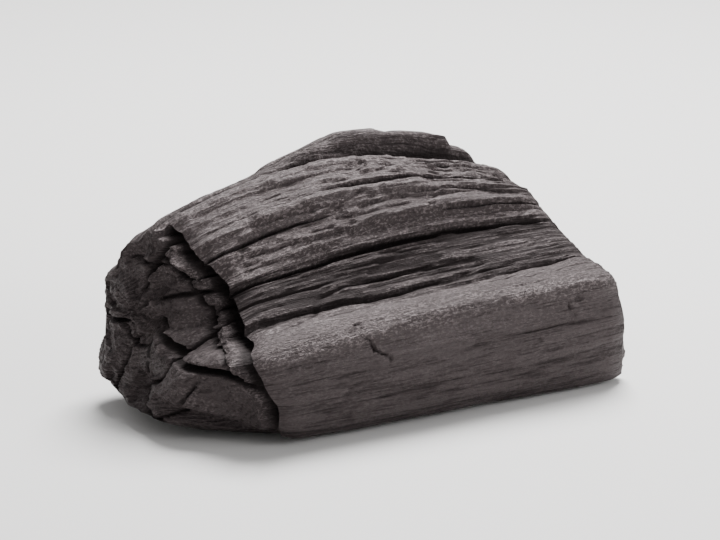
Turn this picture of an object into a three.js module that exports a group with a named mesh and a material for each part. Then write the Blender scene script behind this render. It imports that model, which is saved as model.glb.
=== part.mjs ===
// A lump of hardwood charcoal: one split and broken piece of charred log, with the grain along X.
// The front (-Y) is a split face. Over it the layers of wood step back, by a rounded ridge, a valley and
// a ledge, to the crest, and behind the crest two thin layers stand proud. Both ends are broken across the
// grain; at the left one a shell of outer wood has broken off short of the core, with a deep crack between.
// The skin is one closed grid: rings across the grain, from the middle of the left end, out to its rim,
// along the lump, and in again to the middle of the right end. The belly rises towards both ends, and the
// lump rests at z = 0 on a small flat spot of it.
import * as THREE from "three";

// Driving dimensions, in millimetres; the broken ends reach a little further than the length
const length = 140;
const depth = 76;
const height = 74;

// The outline across the grain, from the foot of the front up over the top and down the back. Each point
// is [y, z] in shares of depth and height, at the left end, at the middle and at the right end.
const outline = {
  frontFoot: [[-0.44, 0.03], [-0.45, 0.025], [-0.455, 0.02]],
  frontFace: [[-0.48, 0.19], [-0.49, 0.2], [-0.47, 0.22]],
  frontRidge: [[-0.45, 0.37], [-0.44, 0.43], [-0.43, 0.45]],
  ridgeTop: [[-0.38, 0.41], [-0.37, 0.47], [-0.35, 0.49]],
  valley: [[-0.24, 0.42], [-0.24, 0.47], [-0.24, 0.5]],
  ledgeFoot: [[-0.1, 0.53], [-0.1, 0.62], [-0.1, 0.61]],
  ledgeBrow: [[-0.06, 0.59], [-0.06, 0.69], [-0.06, 0.66]],
  topSlope: [[0.04, 0.71], [0.05, 0.83], [0.03, 0.74]],
  crest: [[0.15, 0.78], [0.17, 0.91], [0.14, 0.78]],
  layerFoot: [[0.2, 0.75], [0.22, 0.9], [0.19, 0.77]],
  layerTop: [[0.29, 0.67], [0.32, 0.88], [0.28, 0.75]],
  backShoulder: [[0.4, 0.5], [0.44, 0.74], [0.38, 0.6]],
  backFace: [[0.46, 0.28], [0.5, 0.38], [0.45, 0.31]],
  backFoot: [[0.4, 0.11], [0.43, 0.09], [0.38, 0.1]],
  bellyBack: [[0.2, 0.08], [0.2, -0.01], [0.18, 0.08]],
  bellyFront: [[-0.14, 0.06], [-0.14, -0.01], [-0.14, 0.05]],
};
const stations = Object.values(outline);
const turns = stations.length;
const place = Object.fromEntries(Object.keys(outline).map((name, i) => [name, i]));
const roundness = 0.6; // 0 joins the outline's points by straight lines, 1 by a smooth curve

// The mm round the lump at each point of the outline, over the chords of its middle station
const middleStation = stations.map(([, [y, z]]) => new THREE.Vector2(y * depth, z * height));
const arcs = [0];
for (let i = 0; i < turns; i++) {
  arcs.push(arcs[i] + middleStation[i].distanceTo(middleStation[(i + 1) % turns]));
}
const girth = arcs[turns];

// The shell at the left end: x of its broken rim in shares of length, and where the core's edge is inside
// it, in shares of the way from the end's middle to the rim
const shell = {
  frontFoot: [-0.321, 0.9],
  frontFace: [-0.343, 0.86],
  frontRidge: [-0.395, 0.8],
  ridgeTop: [-0.372, 0.77],
  valley: [-0.352, 0.75],
  ledgeFoot: [-0.34, 0.76],
  ledgeBrow: [-0.345, 0.8],
  topSlope: [-0.4, 0.87],
  crest: [-0.42, 0.9],
};
const shellPoints = Object.values(shell);
const lastShell = shellPoints.length - 1;

// The crack between shell and core: mm deep, its two walls in shares of the way, the mm that the core's edge
// stands out from the shell's rim, and the share of the way where the core starts to bend to that edge
const crack = { deep: 11, rimWall: 0.035, coreWall: 0.05, coreStep: 4, bevelFrom: 0.3 };

// The stretches of the outline that have a feature: where it starts, is full, starts to fade, and ends
const shellBand = { from: -1.1, fullFrom: -0.1, fullTo: lastShell + 0.2, to: lastShell + 0.9 };
const crackBand = { from: 0, fullFrom: 0.8, fullTo: lastShell - 0.3, to: lastShell + 0.5 };
const scaleBand = {
  from: place.ledgeBrow,
  fullFrom: place.ledgeBrow + 0.5,
  fullTo: place.crest,
  to: place.layerFoot,
};
const layerBand = {
  from: place.layerFoot,
  fullFrom: place.layerFoot + 0.4,
  fullTo: place.layerTop + 0.5,
  to: place.backShoulder + 0.4,
};

// The core's broken face at the left end: x of its lowest part in shares of length, its lean to the right
// with z, which ends behind the middle, and its bend to the right beyond the front and the back
const core = {
  x: -0.55,
  lean: 0.42,
  leanEnds: 45,
  leanStarts: -10,
  frontFrom: -6,
  frontBend: 0.022,
  backFrom: 18,
  backBend: 0.018,
};

// The right end: x of its lower part in shares of length, and its bend to the left above and behind
const rightEnd = { x: 0.506, aboveFrom: 16, aboveBend: 0.0098, behindFrom: 8, behindBend: 0.004 };

// The pith that the log grew round, which the rings and splits of both ends are centred on, the raggedness of
// both ends, and how far their rims are rounded off, in mm
const pith = { y: 13, z: 31 };
const splinters = { size: 6, reach: 2.6, leftSeed: 11, rightSeed: 12 };
const worn = { wide: 6, deep: 1.5 };

// The broken blocks of the ends: mm from ring to ring, how many rays, mm that they stand out, and each step's
// share of a block. Rings and rays bend: the bends are so many mm large, and reach over so many blocks.
const blocks = { ring: 7.5, rays: 15, reach: 3.4, edge: 0.16, leftSeed: 21, rightSeed: 31 };
const blockBends = { size: 9, reach: 1 };

// Shares of the way out over an end: where the relief of its face starts and is full, where the blocks start
// to fade before the rim, and where the relief of the rim starts
const endRelief = { from: 0.05, fullFrom: 0.45, blocksTo: 0.93, rimFrom: 0.5 };

// The layers that stand proud behind the crest, one on the other: x of both ends in shares of length, the
// rise in mm, and the mm that the rise takes at each end
const proudLayers = [
  { from: -0.24, to: 0.36, rise: 5.2, startsOver: 30, endsOver: 6 },
  { from: -0.06, to: 0.285, rise: 2.8, startsOver: 14, endsOver: 2 },
];

// The relief of the side. Flutes are waves: cells so many mm long, so many to each stretch of the outline.
// Flakes and scales are plates of torn wood: rows so many mm wide, cut into lengths with pointed tips. Each
// plate keeps its height up to a short step, the share edge of a row. The rows bend over the lump. reach is
// in mm. The shares say how much of it all each of the outline's points has: the split front face is calm.
const flutes = [
  { long: 46, across: 2, reach: 1.5, seed: 1 },
  { long: 24, across: 4, reach: 0.9, seed: 2 },
];
const flakes = { long: 42, wide: 9, reach: 1.4, edge: 0.3, seed: 3 };
const scales = { long: 17, wide: 4.2, reach: 1.1, edge: 0.4, seed: 4 };
const tips = { pointed: 0.16, edge: 0.4, spread: 7 };
const rowBends = { long: 50, wide: 16, reach: 6, seed: 5 };
const plateFloor = 0.25; // the height of a plate, from 0 to 1, that lies level with the outline
const reliefShares = [0.5, 0.5, 0.5, 0.5, 1, 1, 1, 1, 1, 1, 1.2, 1.6, 1.7, 1.3, 0.6, 0.6];

// Splits along the grain: x of both ends in shares of length, where on the outline, and mm wide and deep
const grainSplits = [
  { from: -0.5, to: 0.46, at: place.ledgeFoot + 0.1, wide: 2.4, deep: 3.6 },
  { from: -0.55, to: 0.46, at: place.layerFoot, wide: 2.6, deep: 5 },
  { from: -0.5, to: 0.3, at: place.valley + 0.05, wide: 3.2, deep: 1.7 },
  { from: -0.1, to: 0.5, at: place.topSlope + 0.2, wide: 1.8, deep: 1.8 },
  { from: -0.5, to: -0.08, at: place.ledgeBrow + 0.55, wide: 1.8, deep: 2 },
  { from: -0.5, to: 0.34, at: place.backShoulder + 0.35, wide: 2.6, deep: 5 },
  { from: -0.3, to: 0.5, at: place.backFace + 0.3, wide: 2.6, deep: 5.5 },
  { from: -0.45, to: 0.1, at: place.layerTop + 0.55, wide: 2, deep: 3 },
];
const splitWalls = 1.2; // the half-widths that a split's walls reach to; its floor reaches to that less 1
const splitWander = { long: 28, reach: 0.16, seed: 7 }; // mm along the grain, and how far round the outline

// Splits across the grain: x in shares of length, the stretch of the outline, the lean, and mm wide and deep
const crossSplits = [
  { x: -0.16, from: place.layerTop + 0.5, to: place.backFoot + 0.4, lean: 4, wide: 2.6, deep: 4.5 },
  { x: 0.2, from: place.backShoulder + 0.3, to: place.backFace + 0.35, lean: -5, wide: 2.4, deep: 4 },
  { x: 0.02, from: place.backFace + 0.2, to: place.backFoot + 0.8, lean: 5, wide: 2.4, deep: 3.5 },
  { x: -0.11, from: place.frontFace + 0.3, to: place.frontFace + 0.95, lean: -9, wide: 2, deep: 1.2 },
];

// Splits that run out from the pith over an end: the angle from +Y towards +Z in degrees, where they start
// and stop in mm from the pith, and mm wide and deep
const leftEndSplits = [
  { angle: 98, from: 4, to: 28, wide: 2.6, deep: 5 },
  { angle: 149, from: 7, to: 33, wide: 2.8, deep: 4 },
  { angle: 197, from: 5, to: 46, wide: 3.2, deep: 6 },
  { angle: 236, from: 9, to: 52, wide: 3, deep: 5 },
  { angle: 277, from: 6, to: 34, wide: 2.6, deep: 5 },
  { angle: 342, from: 5, to: 28, wide: 2.6, deep: 5 },
];
const rightEndSplits = [
  { angle: 112, from: 4, to: 27, wide: 2.8, deep: 5 },
  { angle: 166, from: 6, to: 42, wide: 3, deep: 6 },
  { angle: 214, from: 8, to: 52, wide: 3, deep: 6 },
  { angle: 290, from: 5, to: 34, wide: 2.8, deep: 5 },
  { angle: 24, from: 4, to: 24, wide: 2.6, deep: 4 },
];
const rayWaver = { reach: 1.5, long: 5 }; // how those splits waver from side to side, in mm

// The grid: how many facets each stretch of the outline has, starting at its first point, how many run along
// the lump, and the rings of an end. Up to the ring at core the rings are spread over the core; the next is
// the foot of the core's wall, and the last is the foot of the rim's wall.
const facetsAround = [5, 6, 3, 4, 6, 2, 5, 4, 2, 4, 6, 8, 8, 6, 7, 6];
const facetsAlong = 46;
const ringShares = { core: 0.72, floor: 0.79, rimFoot: 0.92 };
const endRings = [0, 0.12, 0.24, 0.36, 0.48, 0.6, ringShares.core, ringShares.floor, ringShares.rimFoot];
const middle = { y: 3, z: 19 }; // where the rings of the grid close in on an end, in mm
const middleSize = { y: 0.4, z: 0.1 }; // the innermost ring's size, in shares of the rim's
const nudge = 0.01; // the step round the outline that its direction is measured over

const clamp01 = (v) => Math.min(1, Math.max(0, v));
const mix = (a, b, t) => a + (b - a) * t;
const wrap = (v, n) => ((v % n) + n) % n;
const ease = (low, high, v) => {
  const t = clamp01((v - low) / (high - low));
  return t * t * (3 - 2 * t);
};
const inBand = (band, v) => ease(band.from, band.fullFrom, v) * ease(band.to, band.fullTo, v);

// A fixed random number from 0 to 1 for each corner of a lattice
function cornerValue(i, j, seed) {
  const s = Math.sin(i * 127.1 + j * 311.7 + seed * 74.7) * 43758.5453;
  return s - Math.floor(s);
}

// Smooth noise from 0 to 1 over (p, q), which repeats in q every turn cells
function noise(p, q, seed, turn = 997) {
  const i = Math.floor(p);
  const j = Math.floor(q);
  const u = ease(0, 1, p - i);
  const v = ease(0, 1, q - j);
  const corner = (di, dj) => cornerValue(i + di, wrap(j + dj, turn), seed);
  return mix(mix(corner(0, 0), corner(1, 0), u), mix(corner(0, 1), corner(1, 1), u), v);
}

// Noise drawn out along the grain: cells this many mm long, and this many to each stretch of the outline
function grainNoise(x, around, cellLength, cellsPerStretch, seed) {
  const turn = Math.round(turns * cellsPerStretch);
  return noise(x / cellLength, (around / turns) * turn, seed, turn);
}

// Noise drawn out along the grain in cells so many mm wide, arc being the mm round the lump
function fibreNoise(x, arc, form) {
  const turn = Math.round(girth / form.wide);
  return noise(x / form.long, (arc / girth) * turn, form.seed, turn);
}

// The height of the plate of torn wood at this place, from 0 to 1
function plateHeight(x, arc, form) {
  const rows = Math.round(girth / form.wide);
  const across = (arc / girth) * rows;
  const row = Math.floor(across);
  const aside = Math.abs(2 * (across - row) - 1);
  const rowHeight = (k) => {
    const r = wrap(row + k, rows);
    const run = x / form.long + tips.spread * cornerValue(r, 0, form.seed) + tips.pointed * aside;
    const part = Math.floor(run);
    const next = ease(1 - tips.edge * form.edge, 1, run - part);
    return mix(cornerValue(part, r, form.seed + 1), cornerValue(part + 1, r, form.seed + 1), next);
  };
  return mix(rowHeight(0), rowHeight(1), ease(1 - form.edge, 1, across - row));
}

// A point of the outline, in mm: a curve through its points, lofted by a parabola through the three stations
function outlinePoint(along, around) {
  const share = [(1 - along) * (1 - 2 * along), 4 * along * (1 - along), along * (2 * along - 1)];
  const corner = (i, axis) => {
    const at = stations[wrap(i, turns)];
    return share[0] * at[0][axis] + share[1] * at[1][axis] + share[2] * at[2][axis];
  };
  const i = Math.floor(around);
  const t = around - i;
  const [y, z] = [0, 1].map((axis) => {
    const [before, start, end, after] = [-1, 0, 1, 2].map((step) => corner(i + step, axis));
    const curve = 0.5 * (2 * start + (end - before) * t + (2 * before - 5 * start + 4 * end - after) * t * t
      + (3 * start - before - 3 * end + after) * t * t * t);
    return mix(mix(start, end, t), curve, roundness);
  });
  return new THREE.Vector2(y * depth, z * height);
}

// How deep a V-shaped split is at this distance from its line, tapering to nothing at its two ends
const splitDepth = (split, distance, run) =>
  split.deep * clamp01(splitWalls - (2 * distance) / split.wide) * Math.sqrt(clamp01(4 * run * (1 - run)));

// How far the side's skin stands out from the outline, in mm. stretch is mm for each step round the outline.
function sideRelief(x, around, stretch) {
  const share = x / length;
  const i = Math.floor(around);
  const arc = mix(arcs[i], arcs[i + 1], around - i);
  const bentArc = arc + rowBends.reach * (fibreNoise(x, arc, rowBends) - 0.5);
  const plates = (form) => form.reach * (plateHeight(x, bentArc, form) - plateFloor);
  let out = plates(flakes) + inBand(scaleBand, around) * plates(scales);
  for (const flute of flutes) {
    out += flute.reach * (grainNoise(x, around, flute.long, flute.across, flute.seed) - 0.5);
  }
  out *= mix(reliefShares[i], reliefShares[wrap(i + 1, turns)], around - i);
  for (const layer of proudLayers) {
    const [from, to] = [layer.from * length, layer.to * length];
    const along = ease(from, from + layer.startsOver, x) * ease(to, to - layer.endsOver, x);
    out += inBand(layerBand, around) * layer.rise * along;
  }
  for (const split of grainSplits) {
    const wander = splitWander.reach * (grainNoise(x, split.at, splitWander.long, 1, splitWander.seed) - 0.5);
    const distance = Math.abs(around - split.at - wander) * stretch;
    out -= splitDepth(split, distance, clamp01((share - split.from) / (split.to - split.from)));
  }
  for (const split of crossSplits) {
    const run = (around - split.from) / (split.to - split.from);
    const distance = Math.abs(x - split.x * length - split.lean * (run - 0.5));
    out -= splitDepth(split, distance, clamp01(run));
  }
  return out;
}

// How far a broken end is ragged at this place across the grain, in mm
function raggedness(y, z, seed) {
  return splinters.reach * (noise(y / splinters.size, z / splinters.size, seed) - 0.5);
}

// x of the core's broken face at the left end, in mm, without its relief
function coreAt(y, z) {
  const leaning = core.lean * z * ease(core.leanEnds, core.leanStarts, y);
  const frontBend = core.frontBend * Math.max(0, core.frontFrom - y) ** 2;
  const backBend = core.backBend * Math.max(0, y - core.backFrom) ** 2;
  return core.x * length + leaning + frontBend + backBend;
}

// x of the broken face at the right end, in mm, without its relief
function rightEndAt(y, z) {
  const aboveBend = rightEnd.aboveBend * Math.max(0, z - rightEnd.aboveFrom) ** 2;
  const behindBend = rightEnd.behindBend * Math.max(0, y - rightEnd.behindFrom) ** 2;
  return rightEnd.x * length - aboveBend - behindBend;
}

// At a place round the left end: how far it is shell and how far it is cracked, from 0 to 1, x of the
// shell's rim in mm, and the core's edge inside it
function shellAt(around) {
  const fromFront = around > (turns + lastShell) / 2 ? around - turns : around;
  const at = Math.min(lastShell, Math.max(0, fromFront));
  const i = Math.min(lastShell - 1, Math.floor(at));
  const [rimX, coreEdge] = [0, 1].map((k) => mix(shellPoints[i][k], shellPoints[i + 1][k], at - i));
  const share = inBand(shellBand, fromFront);
  const cracked = inBand(crackBand, fromFront);
  return { share, cracked, rimX: rimX * length, coreEdge };
}

// How far the blocks between the rings and the rays of an end stand out, in mm, with steps between them
function blockReach(y, z, seed) {
  const bend = (k) => blockBends.reach * noise(y / blockBends.size, z / blockBends.size, seed + k);
  const ring = Math.hypot(y - pith.y, z - pith.z) / blocks.ring + bend(1);
  const ray = (Math.atan2(z - pith.z, y - pith.y) / (2 * Math.PI)) * blocks.rays + bend(2);
  const i = Math.floor(ring);
  const j = Math.floor(ray);
  const u = ease(1 - blocks.edge, 1, ring - i);
  const v = ease(1 - blocks.edge, 1, ray - j);
  const block = (di, dj) => cornerValue(i + di, wrap(j + dj, blocks.rays), seed);
  return blocks.reach * (mix(mix(block(0, 0), block(1, 0), u), mix(block(0, 1), block(1, 1), u), v) - 0.5);
}

// How far an end's splits sink into it, in mm, at this place across the grain
function endSplitDepth(splits, y, z) {
  let sink = 0;
  for (const split of splits) {
    const angle = THREE.MathUtils.degToRad(split.angle);
    const run = (y - pith.y) * Math.cos(angle) + (z - pith.z) * Math.sin(angle);
    const waver = rayWaver.reach * Math.sin(run / rayWaver.long);
    const aside = (z - pith.z) * Math.cos(angle) - (y - pith.y) * Math.sin(angle) + waver;
    const share = clamp01((run - split.from) / (split.to - split.from));
    sink = Math.max(sink, splitDepth(split, Math.abs(aside), share));
  }
  return sink;
}

// How far out a ring of an end is, in shares of the way from the middle to the rim
function ringOut(share, coreEdge) {
  const floorFrom = coreEdge + crack.coreWall;
  const floorTo = 1 - crack.rimWall;
  if (share <= ringShares.core) return (coreEdge * share) / ringShares.core;
  if (share <= ringShares.floor) return floorFrom;
  return floorTo;
}

// One line of the grid, in mm: from the middle of the left end, along the side, to the middle of the
// right end
function gridLine(around) {
  const { share, cracked, rimX, coreEdge } = shellAt(around);
  const left = outlinePoint(0, around);
  const right = outlinePoint(1, around);
  const leftRim = mix(coreAt(left.x, left.y), rimX, share);
  const leftX = leftRim + raggedness(left.x, left.y, splinters.leftSeed);
  const rightX = rightEndAt(right.x, right.y) + raggedness(right.x, right.y, splinters.rightSeed);

  const side = Array.from({ length: facetsAlong + 1 }, (_, i) => {
    const t = i / facetsAlong;
    const x = mix(leftX, rightX, t);
    const onOutline = outlinePoint(t, around);
    const step = outlinePoint(t, around + nudge).sub(outlinePoint(t, around - nudge));
    const toRim = Math.min(x - leftX, rightX - x) / worn.wide;
    const out = sideRelief(x, around, step.length() / (2 * nudge)) - worn.deep * clamp01(1 - toRim) ** 2;
    const rim = onOutline.addScaledVector(new THREE.Vector2(-step.y, step.x).normalize(), out);
    return new THREE.Vector3(x, rim.x, Math.max(0, rim.y));
  });

  const ringPoint = (rim, base, ring, faceX) => {
    const out = ringOut(ring, coreEdge);
    const relief = ease(endRelief.rimFrom, 1, out);
    const y = middle.y + (base.x - middle.y) * mix(middleSize.y, 1, out) + (rim.y - base.x) * relief;
    const z = middle.z + (base.y - middle.z) * mix(middleSize.z, 1, out) + (rim.z - base.y) * relief;
    return new THREE.Vector3(faceX(y, z, out), y, Math.max(0, z));
  };
  const onFace = (out) => ease(endRelief.from, endRelief.fullFrom, out);
  const blockOn = (y, z, out, seed) => ease(1, endRelief.blocksTo, out) * blockReach(y, z, seed);
  const leftFace = (y, z, out) => {
    const bevel = share * ease(crack.bevelFrom, coreEdge, out);
    const face = mix(coreAt(y, z), rimX - crack.coreStep, bevel);
    const sunk = endSplitDepth(leftEndSplits, y, z) + blockOn(y, z, out, blocks.leftSeed);
    const relief = onFace(out) * (raggedness(y, z, splinters.leftSeed) + sunk);
    const fromRim = clamp01((1 - out) / crack.rimWall);
    const fromCore = clamp01((out - coreEdge) / crack.coreWall);
    const crackX = leftX + cracked * crack.deep * Math.min(fromRim, fromCore);
    const onShell = share * ease(coreEdge, coreEdge + crack.coreWall / 2, out);
    return mix(face + relief, crackX, onShell);
  };
  const rightFace = (y, z, out) => {
    const sunk = endSplitDepth(rightEndSplits, y, z) + blockOn(y, z, out, blocks.rightSeed);
    return rightEndAt(y, z) + onFace(out) * (raggedness(y, z, splinters.rightSeed) - sunk);
  };
  const leftRings = endRings.map((ring) => ringPoint(side[0], left, ring, leftFace));
  const rightRings = endRings.map((ring) => ringPoint(side[facetsAlong], right, ring, rightFace)).reverse();
  return [...leftRings, ...side, ...rightRings];
}

// The places round the outline of the grid's lines
function placesAround() {
  const places = [];
  facetsAround.forEach((count, i) => {
    for (let k = 0; k < count; k++) places.push(i + k / count);
  });
  return places;
}

// The middle of a ring of points, which closes it as a pole
function middleOf(points) {
  const sum = points.reduce((total, point) => total.add(point), new THREE.Vector3());
  return sum.divideScalar(points.length);
}

// The whole skin as one closed mesh: its rings, and a pole in the middle of each end
function charcoalGeometry() {
  const lines = placesAround().map(gridLine);
  const n = lines.length;
  const lastRing = (lines[0].length - 1) * n;
  const points = lines[0].flatMap((_, ring) => lines.map((line) => line[ring]));
  const leftPole = points.push(middleOf(points.slice(0, n))) - 1;
  const rightPole = points.push(middleOf(points.slice(lastRing, lastRing + n))) - 1;

  const triangles = [];
  for (let j = 0; j < n; j++) {
    const next = (j + 1) % n;
    triangles.push(leftPole, j, next, rightPole, lastRing + next, lastRing + j);
    for (let start = 0; start < lastRing; start += n) {
      const [a, b, c, d] = [start + j, start + n + j, start + n + next, start + next];
      triangles.push(a, b, c, a, c, d);
    }
  }
  const geometry = new THREE.BufferGeometry().setFromPoints(points);
  geometry.setIndex(triangles);
  geometry.computeBoundingBox();
  const { min, max } = geometry.boundingBox;
  geometry.translate(-(min.x + max.x) / 2, -(min.y + max.y) / 2, -min.z);
  geometry.computeVertexNormals();
  return geometry;
}

const charcoal = new THREE.MeshStandardMaterial({ color: 0x2b2626, roughness: 0.75, metalness: 0 });

const lump = new THREE.Group();
const charcoalLump = new THREE.Mesh(charcoalGeometry(), charcoal);
charcoalLump.name = "charcoal_lump";
lump.add(charcoalLump);

export default lump;
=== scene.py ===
# A lump of hardwood charcoal: a fine skin worked out round its solid, a charred finish and a plain studio.
import math

import bpy
import numpy as np
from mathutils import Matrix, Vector


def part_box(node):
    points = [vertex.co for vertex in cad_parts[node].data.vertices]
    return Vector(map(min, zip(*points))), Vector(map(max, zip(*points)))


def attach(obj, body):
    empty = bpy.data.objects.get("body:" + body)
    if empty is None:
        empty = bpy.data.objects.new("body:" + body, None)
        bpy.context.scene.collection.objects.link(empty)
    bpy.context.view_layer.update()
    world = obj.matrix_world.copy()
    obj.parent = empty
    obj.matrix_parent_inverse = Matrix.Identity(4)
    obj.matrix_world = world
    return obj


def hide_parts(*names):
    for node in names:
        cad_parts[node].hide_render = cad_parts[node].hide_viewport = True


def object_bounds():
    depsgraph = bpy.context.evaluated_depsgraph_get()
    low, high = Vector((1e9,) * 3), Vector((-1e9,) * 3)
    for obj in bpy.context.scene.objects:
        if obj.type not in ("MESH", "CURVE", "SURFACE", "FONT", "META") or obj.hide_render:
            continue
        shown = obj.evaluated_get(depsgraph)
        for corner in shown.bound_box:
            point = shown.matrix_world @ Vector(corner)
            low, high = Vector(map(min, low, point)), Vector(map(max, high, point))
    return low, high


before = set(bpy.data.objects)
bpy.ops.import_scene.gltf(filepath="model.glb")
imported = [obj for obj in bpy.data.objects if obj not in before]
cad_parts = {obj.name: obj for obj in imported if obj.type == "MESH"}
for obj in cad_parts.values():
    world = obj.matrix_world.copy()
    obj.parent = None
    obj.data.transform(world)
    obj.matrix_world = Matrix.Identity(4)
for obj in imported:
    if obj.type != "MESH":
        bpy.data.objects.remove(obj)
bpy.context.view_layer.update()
solidLow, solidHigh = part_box("charcoal_lump")
millimetre = 0.001

# The outline across the grain, from the foot of the front up over the top and down the back: [y, z] in
# shares of the depth and height, at the left end, at the middle and at the right end
outline = {
    "frontFoot": [[-0.44, 0.03], [-0.45, 0.025], [-0.455, 0.02]],
    "frontFace": [[-0.48, 0.19], [-0.49, 0.2], [-0.47, 0.22]],
    "frontRidge": [[-0.45, 0.37], [-0.44, 0.43], [-0.43, 0.45]],
    "ridgeTop": [[-0.38, 0.41], [-0.37, 0.47], [-0.35, 0.49]],
    "valley": [[-0.24, 0.42], [-0.24, 0.47], [-0.24, 0.5]],
    "ledgeFoot": [[-0.1, 0.53], [-0.1, 0.62], [-0.1, 0.61]],
    "ledgeBrow": [[-0.06, 0.59], [-0.06, 0.69], [-0.06, 0.66]],
    "topSlope": [[0.04, 0.71], [0.05, 0.83], [0.03, 0.74]],
    "crest": [[0.15, 0.78], [0.17, 0.91], [0.14, 0.78]],
    "layerFoot": [[0.2, 0.75], [0.22, 0.9], [0.19, 0.77]],
    "layerTop": [[0.29, 0.67], [0.32, 0.88], [0.28, 0.75]],
    "backShoulder": [[0.4, 0.5], [0.44, 0.74], [0.38, 0.6]],
    "backFace": [[0.46, 0.28], [0.5, 0.38], [0.45, 0.31]],
    "backFoot": [[0.4, 0.11], [0.43, 0.09], [0.38, 0.1]],
    "bellyBack": [[0.2, 0.08], [0.2, -0.01], [0.18, 0.08]],
    "bellyFront": [[-0.14, 0.06], [-0.14, -0.01], [-0.14, 0.05]],
}
stations = np.array(list(outline.values()))
place = {name: i for i, name in enumerate(outline)}
turns = len(stations)

# The shell round the core, at the left end: x of its broken rim in shares of the length, and where the core's
# edge is inside it, in shares of the way from the end's middle to the rim
shell = {
    "frontFoot": [-0.321, 0.9],
    "frontFace": [-0.343, 0.86],
    "frontRidge": [-0.395, 0.8],
    "ridgeTop": [-0.372, 0.77],
    "valley": [-0.352, 0.75],
    "ledgeFoot": [-0.34, 0.76],
    "ledgeBrow": [-0.345, 0.8],
    "topSlope": [-0.4, 0.87],
    "crest": [-0.42, 0.9],
}

# Everything about the lump's form, in mm unless a note says otherwise
lump = {
    "length": 140.0,
    "depth": 76.0,
    "height": 74.0,
    "roundness": 0.6,  # 0 joins the outline's points by straight lines, 1 by a smooth curve
    "middle": (3.0, 19.0),  # y and z of the middle that the grid of an end runs out from
    "middleSize": (0.12, 0.04),  # the innermost ring of an end, in shares of its rim
    "pith": (13.0, 31.0),  # y and z of the pith that the log grew round
    "splinters": {"size": 6.0, "reach": 2.6},
    "chips": {"size": 2.1, "reach": 0.9, "edge": 0.35, "bend": 1.6, "bendSize": 2.5},  # the last 3 in chips
    # Of the next three, deep and coreStep are in mm, floor is a share of wide, and the rest are shares of the
    # way out to the rim
    "crack": {"deep": 11.0, "rimWall": 0.035, "coreWall": 0.05, "coreStep": 4.0, "bevelFrom": 0.3},
    "innerCrack": {"in": 0.13, "wide": 0.045, "floor": 0.3, "deep": 4.0},
    "endRelief": {"from": 0.03, "fullFrom": 0.25, "blocksTo": 0.93, "rimFrom": 0.5},
    "worn": {"wide": 6.0, "deep": 1.5},
    "sharpAngle": 42.0,  # degrees between faces from which an edge is shaded sharp
}

# The stretches of the outline that have a feature: where it starts, is full, starts to fade, and ends
bands = {
    "shell": (-1.1, -0.1, 8.2, 8.9),
    "crack": (0, 0.8, 7.7, 8.5),
    "innerCrack": (1.2, 2.6, 7.5, 8.2),
    "ridge": (1.7, 2.1, 3, 3.5),
    "scales": (6, 6.5, 8, 9),
    "pitted": (5.8, 6.2, 8, 8.8),
    "layers": (9, 9.4, 10.5, 11.4),
}

# The share of the broad relief at each of the outline's points: little on the split front, much at the back
reliefShares = [0.5, 0.5, 0.5, 0.5, 1, 1, 1, 1, 1, 1, 1.2, 1.6, 1.7, 1.3, 0.6, 0.6]

# How rough the grain is at each of the outline's points, from smooth at 0 to torn at 1 and over
grainRoughness = [0.28, 0.3, 0.44, 0.46, 0.8, 0.9, 1.0, 1.05, 1.0, 0.7, 0.7, 1.1, 1.2, 1.0, 0.5, 0.35]

# How light the char is painted at each of the outline's points, from -1 to 1: painted light and shade,
# lighter on the ridge's top, the ledge's brow, the top slope and the crest as if lit from above, darker in
# the valley and at the ledge's foot as painted shade, and a little darker at the back and the belly
paleness = [-0.1, 0.05, 0.5, 0.7, -0.5, -0.5, 0.6, 0.8, 0.65, -0.05, 0.05, -0.15, -0.3, -0.25, -0.3, -0.2]

# The broad relief of the side. Flutes: mm long, cells to each stretch of the outline, reach in mm and seed.
# Row bends: mm long and wide, reach and seed. Flakes and scales: mm long and wide, the step's share, seed and
# reach in mm. The level is the height of a plate that lies in the outline.
sideForms = {
    "flutes": [(46, 2, 1.5, 1), (24, 4, 0.9, 2)],
    "rowBends": (50, 16, 6, 5),
    "flakes": (42, 9, 0.3, 3, 1.4),
    "scales": (17, 4.2, 0.4, 4, 1.1),
    "plateLevel": 0.25,
}

# How the rows of plates and splinters are cut into lengths, in shares of a length
rowCuts = {
    "shifted": 7,  # how far a row's cuts are moved at most
    "plateTip": 0.16,  # how pointed a tip is
    "splinterTip": 0.1,
    "splinterEnds": (0.05, 0.93),  # between these a splinter has its full height
    "tipStep": 0.4,  # the step at a plate's tip, against the one at its side
}

# The fine relief of the side, all as mm long and wide, seed, and reach in mm
fineForms = {
    "longBend": (38, 9, 50, 3.2),
    "shortBend": (13, 3, 51, 0.9),
    "largeSplinters": (34, 3.4, 52, 0.55),
    "middleSplinters": (17, 1.7, 54, 0.4),
    "fibres": (7, 0.95, 56, 0.35),
    "knobs": (2.6, 1.2, 62, 0.5),
    "cracks": (52, 7, 58, 0.8),
    "pits": (4.6, 1.0, 61, 0.4),
    "markEdge": (5, 1.5, 63, 0.25),
}

# The patches that have cracks, and those that have pits: mm long and wide, seed, and the values of the noise
# from which they have none and all
finePatches = [(44, 11, 59, 0.5, 0.64), (19, 12, 60, 0.4, 0.6)]

# How the fine relief is put together
fineMix = {
    "splinterLevel": 0.4,  # the height of a splinter whose top lies level with the broad relief
    "crackLine": 0.1,  # twice how far from its middle value the noise of a crack may be
    "pits": (0.5, 0.3),  # the values of their noise at a pit's edge and on its floor
    "pitShade": 0.5,  # the share of a pit's depth that is painted as dark as a split, as painted shade
    "markRim": (1.15, 0.85),  # where a mark starts and is full, in shares of its size
    "markSmooths": 0.7,
}

# How high the grain counts for its tone: the shares of splinters, fibres and pits, and the least and the
# most. The pits' share paints them darker, as painted shade.
toneMix = {"largeSplinters": 0.6, "middleSplinters": 0.3, "fibres": 0.5, "pits": 1.2, "limits": (-0.3, 1.5)}
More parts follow.
